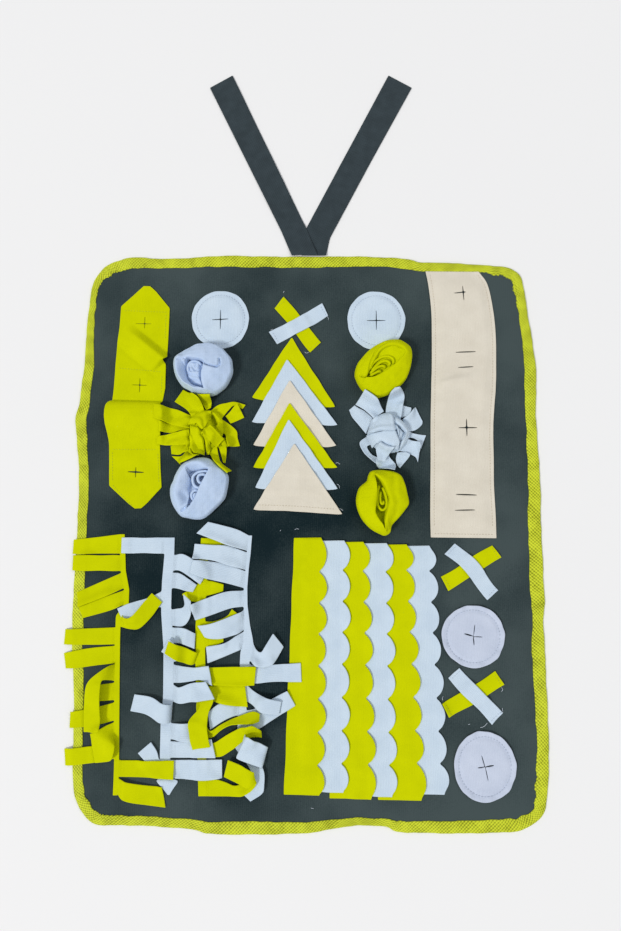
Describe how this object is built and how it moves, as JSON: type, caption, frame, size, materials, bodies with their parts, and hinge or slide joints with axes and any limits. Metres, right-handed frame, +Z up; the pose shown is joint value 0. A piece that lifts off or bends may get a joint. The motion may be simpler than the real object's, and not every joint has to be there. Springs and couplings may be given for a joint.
{
  "type": "snuffle mat",
  "caption": "Felt snuffle mat with a ribbon-bound edge, two ties, fleece patches with slits, fringes, scallops, rolled roses and pompoms for hiding treats.",
  "frame": {"origin": "middle of the panel's flat underside, on the surface it lies on", "axes": "+Z up out of the panel, +Y along its length towards the ties, +X to the right seen from above"},
  "size_m": [0.5782, 0.954, 0.029],
  "materials": {
    "slate_felt": "soft matt felt",
    "webbing": "woven tape, matt",
    "lime_ribbon": "woven ribbon, slight sheen",
    "lime_fleece": "brushed fleece, matt",
    "ice_fleece": "brushed fleece, matt",
    "lilac_fleece": "brushed fleece, matt",
    "sand_fleece": "brushed fleece, matt"
  },
  "bodies": {
    "root": {"panel": "slate_felt", "binding": "lime_ribbon", "tie_left": "webbing", "tie_right": "webbing", "tunnel_strip": "lime_fleece", "pocket_strip": "sand_fleece", "patch_top_left": "ice_fleece", "patch_top_right": "ice_fleece", "patch_low_upper": "lilac_fleece", "patch_low_lower": "lilac_fleece", "triangle_1": "lime_fleece", "triangle_2": "ice_fleece", "triangle_3": "sand_fleece", "triangle_4": "lime_fleece", "triangle_5": "ice_fleece", "triangle_6": "sand_fleece", "scallop_1": "lime_fleece", "scallop_2": "ice_fleece", "scallop_3": "lime_fleece", "scallop_4": "ice_fleece", "scallop_5": "lime_fleece", "scallop_6": "ice_fleece", "cross_top_under": "lime_fleece", "cross_top_over": "ice_fleece", "cross_middle_under": "lime_fleece", "cross_middle_over": "ice_fleece", "cross_low_under": "lime_fleece", "cross_low_over": "ice_fleece", "rose_upper_left": "ice_fleece", "rose_lower_left": "ice_fleece", "rose_upper_right": "lime_fleece", "rose_lower_right": "lime_fleece", "pompom_left": "lime_fleece", "pompom_right": "ice_fleece", "fringe_left_lime": "lime_fleece", "fringe_left_ice": "ice_fleece", "fringe_inner_lime": "lime_fleece", "fringe_inner_ice": "ice_fleece"}
  },
  "joints": []
}
